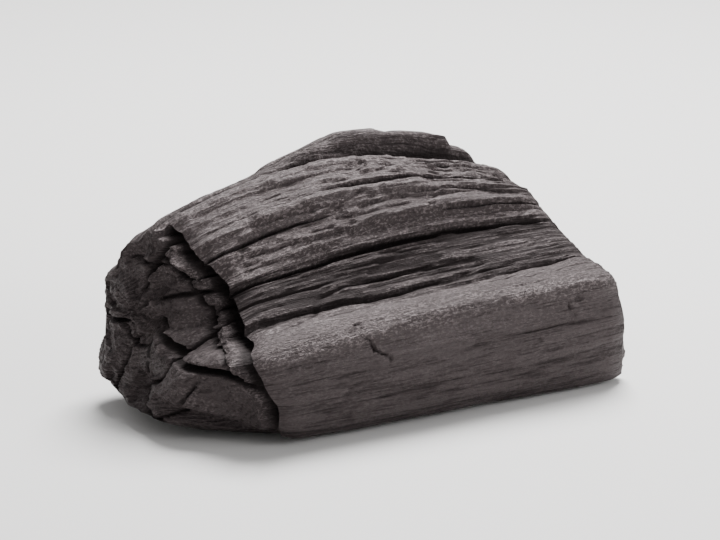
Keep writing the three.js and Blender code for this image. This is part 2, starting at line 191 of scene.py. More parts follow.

# How much dust the grain holds: at least, on rough grain, between which roughnesses that grows, on the ridge,
# where the thick light dust also stands as a painted highlight, with the painted light and shade, and at most
dustMix = {"least": 0.16, "rough": 0.8, "between": (0.25, 0.9), "ridge": 1.5, "pale": 0.3, "most": 2}

# The masks of the ends: how wide the fade at the rim is, and where the lip of the core's edge starts and is
# full, in shares of the way to the rim; how high and dusty the face counts, and how much more the lip does,
# by which the lip is painted lighter as a highlight along the core's edge
endMasks = {"fade": 0.04, "lip": (0.1, 0.01), "high": 1.15, "dust": 0.6, "lipHighlight": 0.4, "lipDust": 1.1}

shadeDepth = 2.5  # mm deep at which a split is painted all dark, as painted shade

# The core's broken face at the left end: x furthest left in shares of the length, how it leans to the right
# with z, over which y that grows towards the front, and how it bends to the right in front of and behind a y
core = {"x": -0.55, "lean": 0.42, "leanY": (45, -10), "front": (-6, 0.022), "back": (18, 0.018)}

# The right end: x of its lower part in shares of the length, and how it bends to the left above a z and
# behind a y
rightEnd = {"x": 0.506, "above": (16, 0.0098), "behind": (8, 0.004)}

# The layers that stand proud behind the crest, one on the other: x of both ends in shares of the length, the
# rise in mm, and how far each end takes to rise
proudLayers = [
    (-0.24, 0.36, 5.2, 30, 6),
    (-0.06, 0.285, 2.8, 14, 2),
]

# Splits along the grain: x of both ends in shares of the length, where on the outline, and mm wide and deep
grainSplits = [
    (-0.5, 0.46, place["ledgeFoot"] + 0.1, 1.3, 3.6),
    (-0.55, 0.46, place["layerFoot"], 1.5, 4),
    (-0.5, 0.3, place["valley"] + 0.05, 2.2, 1.7),
    (-0.1, 0.5, place["topSlope"] + 0.2, 1.2, 1.8),
    (-0.5, -0.08, place["ledgeBrow"] + 0.55, 1.2, 2),
    (-0.5, 0.34, place["backShoulder"] + 0.35, 1.9, 5),
    (-0.3, 0.5, place["backFace"] + 0.3, 1.9, 5.5),
    (-0.45, 0.1, place["layerTop"] + 0.55, 1.5, 3),
    (0.16, 0.5, place["ledgeBrow"] + 0.2, 1.1, 1.4),
    (-0.06, 0.12, place["valley"] + 0.42, 1.1, 1.5),
    (0.1, 0.47, place["valley"] - 0.2, 1.0, 0.9),
    (-0.42, -0.12, place["valley"] + 0.6, 1.0, 1.0),
    (-0.3, 0.2, place["layerTop"] - 0.35, 1.0, 1.2),
    (-0.28, 0.05, place["frontFace"] - 0.1, 0.9, 0.6),
    (0.08, 0.44, place["frontFace"] + 0.35, 0.9, 0.7),
]

# How lines along the grain waver: mm long, cells to each stretch of the outline, seed, and the reach in such
# stretches, or for a width in shares of it
wavers = {
    "layerFoot": (9, 1, 9, 0.16),
    "splitBroad": (28, 1, 7, 0.16),
    "splitFine": (6, 1, 8, 0.04),
    "splitWidth": (11, 1, 10, 0.8),
}

# Splits across the grain: x in shares of the length, from and to where on the outline, how many mm they lean
# over that, and mm wide and deep
crossSplits = [
    (-0.16, place["layerTop"] + 0.5, place["backFoot"] + 0.4, 4, 1.7, 4.5),
    (0.2, place["backShoulder"] + 0.3, place["backFace"] + 0.35, -5, 1.6, 4),
    (0.02, place["backFace"] + 0.2, place["backFoot"] + 0.8, 5, 1.6, 3.5),
    (-0.11, place["frontFace"] + 0.3, place["frontFace"] + 0.95, -9, 1.0, 1.3),
    (0.365, place["frontFace"] + 0.45, place["frontFace"] + 0.9, -4, 0.9, 0.9),
    (-0.33, place["backShoulder"] + 0.2, place["backFace"] + 0.15, 3, 1.2, 1.8),
    (0.34, place["backFace"] + 0.1, place["backFoot"] + 0.1, -4, 1.2, 2),
    (0.07, place["layerTop"] + 0.35, place["backShoulder"] + 0.4, 4, 1.1, 1.6),
    (-0.03, place["backShoulder"] + 0.45, place["backFace"] + 0.3, -3, 1.0, 1.5),
    (-0.29, place["backFace"] + 0.3, place["backFoot"] + 0.3, 4, 1.1, 1.7),
]

# How those splits waver: cells to each stretch of the outline, seed, and reach in mm, or for their width in
# shares of it
crossWavers = {"broad": (1.7, 8, 4), "fine": (6, 9, 2.2), "width": (4, 10, 1)}
noiseLines = 10  # lines of that noise over the length of the lump, of which each split has the one at its x
noiseTurn = 97  # lines before it repeats

splitWalls = 1.2  # in half widths of a split, from its line to the top of its walls; its floor ends 1 sooner

# Marks of their own on the side: x, where on the outline, half the length, half the width, and the rise in mm
sideMarks = {
    "smoothPlate": (33, 6.45, 12, 1.9, 0.45),
    "rimFold": (-57, 7.75, 4, 3.2, 0.9),
    "ridgePit": (-20, 2.6, 1.6, 1.1, -1.0),
    "facePit": (54, 1.75, 1.3, 1.0, -0.8),
}

# Splits that run out from the pith over an end: degrees from +Y to +Z, start and stop, mm wide and deep
leftEndSplits = [
    (98, 4, 28, 1.6, 5),
    (149, 7, 33, 1.7, 4),
    (197, 5, 46, 2.0, 6),
    (236, 9, 52, 1.8, 5),
    (277, 6, 34, 1.6, 5),
    (342, 5, 28, 1.6, 5),
]
rightEndSplits = [
    (112, 4, 27, 1.7, 5),
    (166, 6, 42, 1.9, 6),
    (214, 8, 52, 1.8, 6),
    (290, 5, 34, 1.7, 5),
    (24, 4, 24, 1.6, 4),
]

# Splits along the growth rings of both ends: mm from the pith, from and over how many degrees, mm wide, deep
ringSplits = [
    (9, 190, 150, 1.1, 2.4),
    (16, 60, 85, 1.1, 2.0),
    (22, 160, 95, 1.3, 3.0),
    (33, 200, 60, 1.3, 2.6),
]

# How the splits of the ends waver: a ring by noise, in cells to a turn, and a ray by a sine, in mm
ringWaver = {"cells": 23, "seed": 40, "reach": 2.4}
rayWaver = {"long": 5, "reach": 1.5}

# The blocks of a broken end, large and small: mm from ring to ring, how many rays, how far they stand out in
# mm, each step's share of a block, and what is added to the end's seed
endBlocks = [(7.5, 15, 3.4, 0.1, 0), (2.8, 43, 1.2, 0.16, 3)]
blockBendSize = 9  # mm over which their rings and rays bend

# The seeds of the ends: their rims, their blocks and the chips of the crack's walls
endSeeds = {"leftRim": 11, "rightRim": 12, "leftBlocks": 21, "rightBlocks": 31, "crackChips": 25}

# How fine the grid is
gridSize = {
    "seenGap": 0.45,  # mm between the lines along the grain on what is seen
    "wallGap": 0.25,  # up the proud layers' wall
    "backGap": 0.75,
    "bellyGap": 1.5,
    "fewest": 4,  # lines in a stretch of the outline
    "sideRings": 132,
    "leftRings": 76,
    "rightRings": 42,
    "ringShares": (0, 0.62, 0.71, 0.87, 1),  # of an end's rings, to the core's edge, both walls' feet and rim
    "measuredAt": 12,  # points of a stretch, for its length
    "nudge": 0.01,  # the step along the outline that its direction is worked out over
}

# What makes a random number of a lattice's corner: its steps along a sine, and how steep the sine is
cornerSteps = (127.1, 311.7, 74.7)
steepness = 43758.5453
farTurn = 997  # cells before a noise repeats that doesn't run round the lump


# From a at t = 0 to b at t = 1, straight
def mix(a, b, t):
    return a + (b - a) * t


# From 0 at low to 1 at high, eased at both by 3 t^2 - 2 t^3
def ease(low, high, value):
    t = np.clip((value - low) / (high - low), 0, 1)
    return t * t * (3 - 2 * t)


# 1 where a band is full, eased to 0 at its ends
def inBand(name, value):
    start, fullFrom, fullTo, stop = bands[name]
    return ease(start, fullFrom, value) * ease(stop, fullTo, value)


# A fixed random number from 0 to 1 for each corner of a lattice: the fraction of a very steep sine
def cornerValue(i, j, seed):
    stepI, stepJ, stepSeed = cornerSteps
    s = np.sin(i * stepI + j * stepJ + seed * stepSeed) * steepness
    return s - np.floor(s)


# Cells over (p, q), repeating every turn cells: each has its own value from 0 to 1, up to a step to the next
# one that is eased over the share edge of it
def cells(p, q, edge, seed, turn=farTurn):
    i, j = np.floor(p), np.floor(q)
    u, v = ease(1 - edge, 1, p - i), ease(1 - edge, 1, q - j)
    low = mix(cornerValue(i, j % turn, seed), cornerValue(i + 1, j % turn, seed), u)
    high = mix(cornerValue(i, (j + 1) % turn, seed), cornerValue(i + 1, (j + 1) % turn, seed), u)
    return mix(low, high, v)


# Smooth noise from 0 to 1: cells that are eased over their whole width
def noise(p, q, seed, turn=farTurn):
    return cells(p, q, 1, seed, turn)


# The mm round the lump to each place, measured over the chords of the middle outline
middleOutline = stations[:, 1] * [lump["depth"], lump["height"]]
chords = np.hypot(*(np.roll(middleOutline, -1, 0) - middleOutline).T)
arcKnots = np.append(0, chords.cumsum())
girth = arcKnots[-1]


def arcAt(around):
    return np.interp(around, range(turns + 1), arcKnots)


# The value at each place of something that is listed for the outline's points
def valueAt(around, values):
    return np.interp(around, range(turns + 1), values + values[:1])


# Noise drawn out along the grain: cells this many mm long, and this many to each stretch of the outline
def grainNoise(x, around, cellLength, cellsPerStretch, seed):
    turn = round(turns * cellsPerStretch)
    return noise(x / cellLength, around / turns * turn, seed, turn)


# The same with cells so many mm wide, over arc, the mm round the lump
def fibreNoise(x, arc, long, wide, seed):
    turn = round(girth / wide)
    return noise(x / long, arc / girth * turn, seed, turn)


# Splinters side by side along the grain, from 0 to 1: rows so many mm wide, each cut into lengths at its own
# places, with pointed tips. Each has a height of its own, times 1 - |s|^4 across it, s being -1 to 1.
def splinterHeight(x, arc, long, wide, seed):
    rows = round(girth / wide)
    across = arc / girth * rows
    row = np.floor(across)
    aside = np.abs(2 * (across - row) - 1)
    run = x / long + rowCuts["shifted"] * cornerValue(row % rows, 0, seed) + rowCuts["splinterTip"] * aside
    part = np.floor(run)
    firstEnd, lastEnd = rowCuts["splinterEnds"]
    tips = ease(0, firstEnd, run - part) * ease(1, lastEnd, run - part)
    return cornerValue(part, row % rows, seed + 1) * (1 - aside**4) * tips


# Plates of torn wood, from 0 to 1: rows cut into lengths in the same way, but each row and length keeps its
# height up to a short step to the next, which takes the share edge of it
def plateHeight(x, arc, long, wide, edge, seed):
    rows = round(girth / wide)
    across = arc / girth * rows
    row = np.floor(across)
    aside = np.abs(2 * (across - row) - 1)

    def rowHeight(k):
        r = (row + k) % rows
        run = x / long + rowCuts["shifted"] * cornerValue(r, 0, seed) + rowCuts["plateTip"] * aside
        part = np.floor(run)
        first, second = cornerValue(part, r, seed + 1), cornerValue(part + 1, r, seed + 1)
        return mix(first, second, ease(1 - rowCuts["tipStep"] * edge, 1, run - part))

    return mix(rowHeight(0), rowHeight(1), ease(1 - edge, 1, across - row))


# The outline at each share of the length and each place: a curve through its points, lofted by a parabola
# through the stations
def outlinePoint(along, around):
    share = np.stack([(1 - along) * (1 - 2 * along), 4 * along * (1 - along), along * (2 * along - 1)], -1)
    first = np.floor(around).astype(int)
    t = (around - first)[None, :, None]
    before, start, end, after = (
        np.einsum("rs,nsc->rnc", share, stations[(first + step) % turns]) for step in (-1, 0, 1, 2)
    )
    curve = 0.5 * (
        2 * start
        + (end - before) * t
        + (2 * before - 5 * start + 4 * end - after) * t**2
        + (3 * start - before - 3 * end + after) * t**3
    )
    point = mix(mix(start, end, t), curve, lump["roundness"])
    return point[..., 0] * lump["depth"], point[..., 1] * lump["height"]


# The outline at the middle of the lump
def middleOutlinePoint(around):
    y, z = outlinePoint(np.array([0.5]), around)
    return y[0], z[0]


# How deep a V-shaped split is at this distance from its line, tapering to nothing at its two ends
def splitDepth(wide, deep, distance, run):
    taper = np.sqrt(np.clip(4 * run * (1 - run), 0, 1))
    return deep * np.clip(splitWalls - 2 * distance / wide, 0, 1) * taper


# How far a line along the grain wavers at each place
def waver(name, x, around):
    long, across, seed, reach = wavers[name]
    return reach * (grainNoise(x, around, long, across, seed) - 0.5)


# The rise of the proud layers, whose foot wavers a little
def layerRise(x, around):
    rise = 0
    wavering = around + waver("layerFoot", x, around)
    for start, stop, height, startLength, stopLength in proudLayers:
        layerFrom, layerTo = start * lump["length"], stop * lump["length"]
        along = ease(layerFrom, layerFrom + startLength, x) * ease(layerTo, layerTo - stopLength, x)
        rise = rise + inBand("layers", wavering) * height * along
    return rise


# The other broad forms of the side, which the solid has too: flutes, long flakes and short scales
def broadRelief(x, around, arc):
    relief = 0
    for long, across, reach, seed in sideForms["flutes"]:
        relief = relief + reach * (grainNoise(x, around, long, across, seed) - 0.5)
    long, wide, reach, seed = sideForms["rowBends"]
    bent = arc + reach * (fibreNoise(x, arc, long, wide, seed) - 0.5)
    for name, on in (("flakes", 1), ("scales", inBand("scales", around))):
        *shape, reach = sideForms[name]
        relief = relief + on * reach * (plateHeight(x, bent, *shape) - sideForms["plateLevel"])
    return relief * valueAt(around, reliefShares)


# The splits of the side: the depth of each is added up
def sideSplits(x, around, stretch):
    share = x / lump["length"]
    splits = np.zeros_like(x)
    for start, stop, at, wide, deep in grainSplits:
        line = at + waver("splitBroad", x, at) + waver("splitFine", x, at)
        distance = np.abs(around - line) * stretch
        uneven = wide * (1 + waver("splitWidth", x, at))
        splits += splitDepth(uneven, deep, distance, np.clip((share - start) / (stop - start), 0, 1))
    for at, start, stop, lean, wide, deep in crossSplits:
        run = (around - start) / (stop - start)
        line = np.full_like(around, at * noiseLines)
        broad, fine, width = (
            reach * (noise(around * cellsEach, line, seed, noiseTurn) - 0.5)
            for cellsEach, seed, reach in crossWavers.values()
        )
        distance = np.abs(x - at * lump["length"] - lean * (run - 0.5) - broad - fine)
        splits += splitDepth(wide * (1 + width), deep, distance, np.clip(run, 0, 1))
    return splits


# The value from 0 to 1 of one of the fine forms, and its reach
def formNoise(name, x, arc):
    long, wide, seed, reach = fineForms[name]
    return fibreNoise(x, arc, long, wide, seed), reach


# The fine grain of the side: splinters of two sizes and fibres over arcs that wander, knobs, long thin cracks
# where a noise is near its middle value, pits where another is low, and marks of their own. With the relief
# come how high the grain counts, which holds the outline's painted light and shade and is lower in the cracks
# and pits as painted shade, the depth of its cracks and pits, by which they are painted in shade, and how
# much dust it holds.
def fineGrain(x, arc, around, stretch):
    rough = valueAt(around, grainRoughness)
    ridge = inBand("ridge", around)
    bent = arc
    for name in ("longBend", "shortBend"):
        bend, reach = formNoise(name, x, arc)
        bent = bent + reach * (bend - 0.5)

    relief, height = 0, 0
    for name in ("largeSplinters", "middleSplinters"):
        *shape, reach = fineForms[name]
        splinters = splinterHeight(x, bent, *shape)
        relief = relief + rough * reach * (splinters - fineMix["splinterLevel"])
        height = height + toneMix[name] * splinters
    fibres, fibreReach = formNoise("fibres", x, bent)
    knobs, knobReach = formNoise("knobs", x, bent)
    relief = relief + rough * fibreReach * (fibres - 0.5)
    relief = relief + np.maximum(rough**2, ridge) * knobReach * (knobs - 0.5)

    line, crackReach = formNoise("cracks", x, bent)
    pit, pitReach = formNoise("pits", x, bent)
    crackPatch, pitPatch = (
        ease(none, full, fibreNoise(x, arc, long, wide, seed)) for long, wide, seed, none, full in finePatches
    )
    cracks = crackReach * rough * (1 - ease(0, fineMix["crackLine"], np.abs(2 * line - 1))) * crackPatch
    pits = pitReach * inBand("pitted", around) * pitPatch * ease(*fineMix["pits"], pit)
    relief = relief - cracks - pits

    unevenEdge, edgeReach = formNoise("markEdge", x, arc)
    for markX, at, halfLength, halfWidth, rise in sideMarks.values():
        away = np.hypot((x - markX) / halfLength, (around - at) * stretch / halfWidth)
        on = ease(*fineMix["markRim"], away + edgeReach * (unevenEdge - 0.5))
        relief = relief * (1 - fineMix["markSmooths"] * on) + rise * on
    # The painted light and shade of the outline's points, which lightens and darkens the grain's tone and its
    # dust
    pale = valueAt(around, paleness)
    height = height + toneMix["fibres"] * fibres + pale - cracks - toneMix["pits"] * pits
    onRough = dustMix["rough"] * ease(*dustMix["between"], rough)
    # On the ridge the dust is laid thick, partly dust and partly a painted highlight along the ridge
    dusty = dustMix["least"] + np.maximum(onRough, dustMix["ridge"] * ridge) + dustMix["pale"] * pale
    splits = cracks + fineMix["pitShade"] * pits
    return relief, np.clip(height, *toneMix["limits"]), splits, np.clip(dusty, 0, dustMix["most"])


# How far a broken end is ragged at this place across the grain
def raggedness(y, z, seed):
    size, reach = lump["splinters"].values()
    return reach * (noise(y / size, z / size, seed) - 0.5)


# The bundles of fibres that a broken end is torn into: small cells with bent sides, each at its own height
def chipReach(y, z, seed):
    size, reach, edge, bend, bendSize = lump["chips"].values()
    p = y / size + bend * noise(y / size / bendSize, z / size / bendSize, seed + 5)
    q = z / size + bend * noise(y / size / bendSize, z / size / bendSize, seed + 6)
    return reach * (cells(p, q, edge, seed + 7) - 0.5)


# x of the core's broken face at the left end, without its relief
def coreAt(y, z):
    leaning = core["lean"] * z * ease(*core["leanY"], y)
    (frontFrom, frontBend), (backFrom, backBend) = core["front"], core["back"]
    bends = frontBend * np.maximum(0, frontFrom - y) ** 2 + backBend * np.maximum(0, y - backFrom) ** 2
    return core["x"] * lump["length"] + leaning + bends


# x of the broken face at the right end, without its relief
def rightEndAt(y, z):
    (aboveZ, aboveBend), (behindY, behindBend) = rightEnd["above"], rightEnd["behind"]
    bends = aboveBend * np.maximum(0, z - aboveZ) ** 2 + behindBend * np.maximum(0, y - behindY) ** 2
    return rightEnd["x"] * lump["length"] - bends


# The mm and the turns round the pith of a place across the grain
def roundPith(y, z):
    pithY, pithZ = lump["pith"]
    return np.hypot(y - pithY, z - pithZ), np.arctan2(z - pithZ, y - pithY) / (2 * math.pi)


# How far the blocks between the rings and the rays of an end stand out: one height each, with steps between
def blockReach(y, z, seed):
    away, turn = roundPith(y, z)
    total = chipReach(y, z, seed)
    for ringWidth, rays, reach, edge, more in endBlocks:
        ring = away / ringWidth + noise(y / blockBendSize, z / blockBendSize, seed + more + 1)
        ray = turn * rays + noise(y / blockBendSize, z / blockBendSize, seed + more + 2)
        total = total + reach * (cells(ring, ray, edge, seed + more, rays) - 0.5)
    return total


# How far an end's splits sink into it: each is a V along a wavering ray from the pith or a wavering ring
def endSplitDepth(splits, y, z):
    pithY, pithZ = lump["pith"]
    away, turn = roundPith(y, z)
    sink = np.zeros_like(y)
    for radius, degrees, over, wide, deep in ringSplits:
        run = (turn - degrees / 360) % 1 / (over / 360)
        wavering = noise(turn * ringWaver["cells"], np.full_like(turn, radius), ringWaver["seed"], noiseTurn)
        aside = away - radius - ringWaver["reach"] * (wavering - 0.5)
        sink = np.maximum(sink, splitDepth(wide, deep, np.abs(aside), np.clip(run, 0, 1)))
    for degrees, start, stop, wide, deep in splits:
        c, s = math.cos(math.radians(degrees)), math.sin(math.radians(degrees))
        run = (y - pithY) * c + (z - pithZ) * s
        aside = (z - pithZ) * c - (y - pithY) * s + rayWaver["reach"] * np.sin(run / rayWaver["long"])
        share = np.clip((run - start) / (stop - start), 0, 1)
        sink = np.maximum(sink, splitDepth(wide, deep, np.abs(aside), share))
    return sink


# At each place round the left end, the belly's places being below 0: x of the shell's rim, the core's edge
# inside it, and the place itself
def shellAt(around):
    last = len(shell) - 1
    fromFront = np.where(around > (turns + last) / 2, around - turns, around)
    rimX, coreEdge = (np.interp(fromFront, range(last + 1), values) for values in zip(*shell.values()))
    return rimX * lump["length"], coreEdge, fromFront


# The places round the outline of the grid's lines, spaced by what is seen of each stretch
def placesAround():
    places = []
    for i in range(turns):
        y, z = middleOutlinePoint(np.linspace(i, i + 1, gridSize["measuredAt"]))
        stretchLength = np.hypot(np.diff(y), np.diff(z)).sum()
        gap = gridSize["seenGap"] if i < place["backShoulder"] else gridSize["backGap"]
        gap = gridSize["wallGap"] if i == place["layerFoot"] else gap
        gap = gap if i < place["backFoot"] else gridSize["bellyGap"]
        count = max(gridSize["fewest"], round(stretchLength / gap))
        places.append(i + np.arange(count) / count)
    return np.concatenate(places)


# How far out each ring of an end is, in shares of the way from the middle to the rim: evenly over the core,
# and closer over the core's wall, the crack's floor and the rim's wall
def ringsOut(share, coreEdge):
    crack = lump["crack"]
    knots = np.array(gridSize["ringShares"])
    even = np.ones_like(coreEdge)
    ways = np.stack([0 * even, coreEdge, coreEdge + crack["coreWall"], (1 - crack["rimWall"]) * even, even])
    k = np.clip(np.searchsorted(knots, share, "right") - 1, 0, len(knots) - 2)
    u = (share - knots[k]) / (knots[k + 1] - knots[k])
    return mix(ways[k], ways[k + 1], u[:, None])


# The left end's face over (y, z): the core with its blocks and splits, bent to its edge, and outside that the
# crack, a trough between two steep walls, and the shell's rim
def leftFace(y, z, out, rimX, coreEdge, fromFront, leftX):
    crack, inner, relief = lump["crack"], lump["innerCrack"], lump["endRelief"]
    onShell = inBand("shell", fromFront)
    bevel = onShell * ease(crack["bevelFrom"], coreEdge, out)
    chips = ease(1, relief["blocksTo"], out) * chipReach(y, z, endSeeds["crackChips"])
    face = mix(coreAt(y, z), rimX - crack["coreStep"], bevel)
    splits = endSplitDepth(leftEndSplits, y, z)
    fromInner = np.abs(out - coreEdge + inner["in"]) / inner["wide"]
    splits = splits + inner["deep"] * inBand("innerCrack", fromFront) * ease(1, inner["floor"], fromInner)
    sunk = splits + ease(1, relief["blocksTo"], out) * blockReach(y, z, endSeeds["leftBlocks"])
    sunk = sunk + raggedness(y, z, endSeeds["leftRim"])
    face = face + ease(relief["from"], relief["fullFrom"], out) * sunk
    fromRim = np.clip((1 - out) / crack["rimWall"], 0, 1)
    fromCore = np.clip((out - coreEdge) / crack["coreWall"], 0, 1)
    crackDepth = inBand("crack", fromFront) * crack["deep"] * np.minimum(fromRim, fromCore)
    outside = onShell * ease(coreEdge, coreEdge + crack["coreWall"] / 2, out)
    # The crack's depth goes back with the splits, so that its walls and floor are painted in shade
    return mix(face, leftX + crackDepth + chips, outside), mix(splits, crackDepth, outside)


# The right end's face over (y, z), with its blocks and splits
def rightFace(y, z, out):
    relief = lump["endRelief"]
    splits = endSplitDepth(rightEndSplits, y, z)
    sunk = splits + ease(1, relief["blocksTo"], out) * blockReach(y, z, endSeeds["rightBlocks"])
    onFace = ease(relief["from"], relief["fullFrom"], out)
    return rightEndAt(y, z) + onFace * (raggedness(y, z, endSeeds["rightRim"]) - sunk), splits


# The whole skin: for along from 0 to 1 the side, under 0 the left end and over 1 the right end. A point of
# the side is the outline's, moved out square to the outline by the relief. Beside each point are the wood's
# own place, which is x, and y and z at the middle of the outline, in mm, and the masks that the finish reads.
def skinGrid():
    around = placesAround()
    inLeft = np.arange(gridSize["leftRings"]) / gridSize["leftRings"]
    inRight = np.arange(gridSize["rightRings"]) / gridSize["rightRings"]
    along = np.concatenate([inLeft - 1, np.linspace(0, 1, gridSize["sideRings"]), (2 - inRight)[::-1]])
    t = np.clip(along, 0, 1)
    y, z = outlinePoint(t, around)
    yAfter, zAfter = outlinePoint(t, (around + gridSize["nudge"]) % turns)
    yBefore, zBefore = outlinePoint(t, (around - gridSize["nudge"]) % turns)
    stepY, stepZ = yAfter - yBefore, zAfter - zBefore
    step = np.hypot(stepY, stepZ)
    stretch = step / (2 * gridSize["nudge"])

    rimX, coreEdge, fromFront = shellAt(around)
    out = ringsOut(1 - np.maximum(np.maximum(-along, along - 1), 0), coreEdge)
    leftX = mix(coreAt(y[0], z[0]), rimX, inBand("shell", fromFront))
    leftX = leftX + raggedness(y[0], z[0], endSeeds["leftRim"])
    rightX = rightEndAt(y[-1], z[-1]) + raggedness(y[-1], z[-1], endSeeds["rightRim"])
    x = mix(leftX, rightX, t[:, None])
    woodY, woodZ = middleOutlinePoint(around)
    placeGrid = np.broadcast_to(around, x.shape)
    arc = arcAt(placeGrid)
    rise = layerRise(x, placeGrid)

    fine, height, fineSplits, dusty = fineGrain(x, arc + rise, placeGrid, stretch)
    splits = sideSplits(x, placeGrid, stretch)
    toRim = np.minimum(x - leftX, rightX - x)
    relief = rise + broadRelief(x, placeGrid, arc) + fine - splits
    relief = relief - lump["worn"]["deep"] * np.clip(1 - toRim / lump["worn"]["wide"], 0, 1) ** 2
    reliefY = -stepZ / step * relief
    reliefZ = np.maximum(0, z + stepY / step * relief) - z

    middleY, middleZ = lump["middle"]
    sizeY, sizeZ = lump["middleSize"]
    shareY, shareZ = mix(sizeY, 1, out), mix(sizeZ, 1, out)
    reliefLeft = ease(lump["endRelief"]["rimFrom"], 1, out)
    y = middleY + (y - middleY) * shareY + reliefY * reliefLeft
    z = np.maximum(0, middleZ + (z - middleZ) * shareZ + reliefZ * reliefLeft)
    splits = splits + fineSplits

    left, right = along < 0, along > 1
    faceX, faceSplits = leftFace(y, z, out, rimX, coreEdge, fromFront, leftX)
    x[left], splits[left] = faceX[left], faceSplits[left]
    faceX, faceSplits = rightFace(y, z, out)
    x[right], splits[right] = faceX[right], faceSplits[right]
    onEnd = ease(0, endMasks["fade"], 1 - out)
    # The lip along the core's edge is painted lighter, a painted highlight, and holds more dust
    lip = left[:, None] * inBand("crack", fromFront) * ease(*endMasks["lip"], np.abs(out - coreEdge))
    height = mix(height, endMasks["high"], onEnd) + endMasks["lipHighlight"] * lip
    woodY, woodZ = woodY - stepZ / step * rise, woodZ + stepY / step * rise
    wood = np.stack([x, middleY + (woodY - middleY) * shareY, middleZ + (woodZ - middleZ) * shareZ], -1)
    masks = {
        # Painted shade: the deeper the splits, pits and the left end's crack, the darker they are painted
        "creviceShade": np.clip(splits / shadeDepth, 0, 1),
        "brokenEnd": onEnd,
        "highGrain": height,
        "dustHeld": mix(dusty, endMasks["dust"], onEnd) + endMasks["lipDust"] * lip,
    }
    return np.stack([x, y, z], -1), wood, masks


# The grid as one closed mesh: its rings, and a pole in the middle of each end
def buildLump():
    grid, wood, masks = skinGrid()
    rings, n = grid.shape[:2]
    points = np.concatenate([grid.reshape(-1, 3), [grid[0].mean(0), grid[-1].mean(0)]])
    ringStart = np.arange(rings - 1)[:, None] * n
    here = np.arange(n)
    after = (here + 1) % n
    quads = np.stack([ringStart + here, ringStart + n + here, ringStart + n + after, ringStart + after], -1)
    lastRing = (rings - 1) * n
    leftPole, rightPole = rings * n, rings * n + 1
    leftFan = np.stack([np.full(n, leftPole), here, after], -1)
    rightFan = np.stack([np.full(n, rightPole), lastRing + after, lastRing + here], -1)
    faces = quads.reshape(-1, 4).tolist() + leftFan.tolist() + rightFan.tolist()

    low, high = points.min(0), points.max(0)
    middle = (np.array(solidLow) + np.array(solidHigh)) / 2
    points = (points - [(low[0] + high[0]) / 2, (low[1] + high[1]) / 2, low[2]]) * millimetre
    points += [middle[0], middle[1], solidLow[2]]
    mesh = bpy.data.meshes.new("charcoalSkin")
    mesh.from_pydata(points.tolist(), [], faces)
    mesh.update()

    for name, mask in masks.items():
        values = np.append(mask.ravel(), [mask[0, 0], mask[-1, 0]]).astype(np.float32)
        mesh.attributes.new(name, "FLOAT", "POINT").data.foreach_set("value", values)
    woodPlaces = np.concatenate([wood.reshape(-1, 3), [wood[0].mean(0), wood[-1].mean(0)]]) * millimetre
    woodLayer = mesh.attributes.new("wood", "FLOAT_VECTOR", "POINT")
    woodLayer.data.foreach_set("vector", woodPlaces.ravel().astype(np.float32))

    mesh.shade_smooth()
    mesh.set_sharp_from_angle(angle=math.radians(lump["sharpAngle"]))
    piece = bpy.data.objects.new("charcoalSkin", mesh)
    bpy.context.scene.collection.objects.link(piece)
    print("charcoal skin:", rings, "rings of", n, "and", 2 * rings * n, "triangles")
    return piece


# A node with its settings and its inputs, which are linked if they are sockets: in0 is the first input, and
# From_Min the one called From Min
def addNode(tree, kind, settings=None, **values):
    node = tree.nodes.new(kind)
    for name, value in (settings or {}).items():
        setattr(node, name, value)
    for name, value in values.items():
        socket = node.inputs[int(name[2:])] if name.startswith("in") else node.inputs[name.replace("_", " ")]
        if isinstance(value, bpy.types.NodeSocket):
            tree.links.new(value, socket)
        else:
            socket.default_value = value
    return node


# An operation on sockets and numbers
def mathNode(tree, operation, *values):
    inputs = {f"in{i}": value for i, value in enumerate(values)}
    return addNode(tree, "ShaderNodeMath", {"operation": operation}, **inputs).outputs[0]


def vectorNode(tree, operation, first, second):
    return addNode(tree, "ShaderNodeVectorMath", {"operation": operation}, in0=first, in1=second).outputs[0]


def mixColours(tree, share, first, second):
    return addNode(tree, "ShaderNodeMix", {"data_type": "RGBA"}, in0=share, in6=first, in7=second).outputs[2]


# From 0 where the value is low to 1 where it is high, eased
def stepNode(tree, value, low, high):
    inputs = {"Value": value, "From_Min": low, "From_Max": high}
    return addNode(tree, "ShaderNodeMapRange", {"interpolation_type": "SMOOTHSTEP"}, **inputs).outputs[0]


# Streaks drawn out along the grain: noise in so many cells each metre, along the wood and across it twice
def streakGroup():
    tree = bpy.data.node_groups.new("grainStreaks", "ShaderNodeTree")
    tree.interface.new_socket("Wood Place", in_out="INPUT", socket_type="NodeSocketVector")
    tree.interface.new_socket("Cells Each Metre", in_out="INPUT", socket_type="NodeSocketVector")
    tree.interface.new_socket("Detail", in_out="INPUT", socket_type="NodeSocketFloat")
    tree.interface.new_socket("Streak", in_out="OUTPUT", socket_type="NodeSocketFloat")
    given, result = tree.nodes.new("NodeGroupInput"), tree.nodes.new("NodeGroupOutput")
    inCells = vectorNode(tree, "MULTIPLY", given.outputs["Wood Place"], given.outputs["Cells Each Metre"])
    streak = addNode(
        tree,
        "ShaderNodeTexNoise",
        Vector=inCells,
        Scale=1,
        Detail=given.outputs["Detail"],
        Roughness=charFinish["streakRoughness"],
    )
    tree.links.new(streak.outputs["Fac"], result.inputs["Streak"])
    return tree


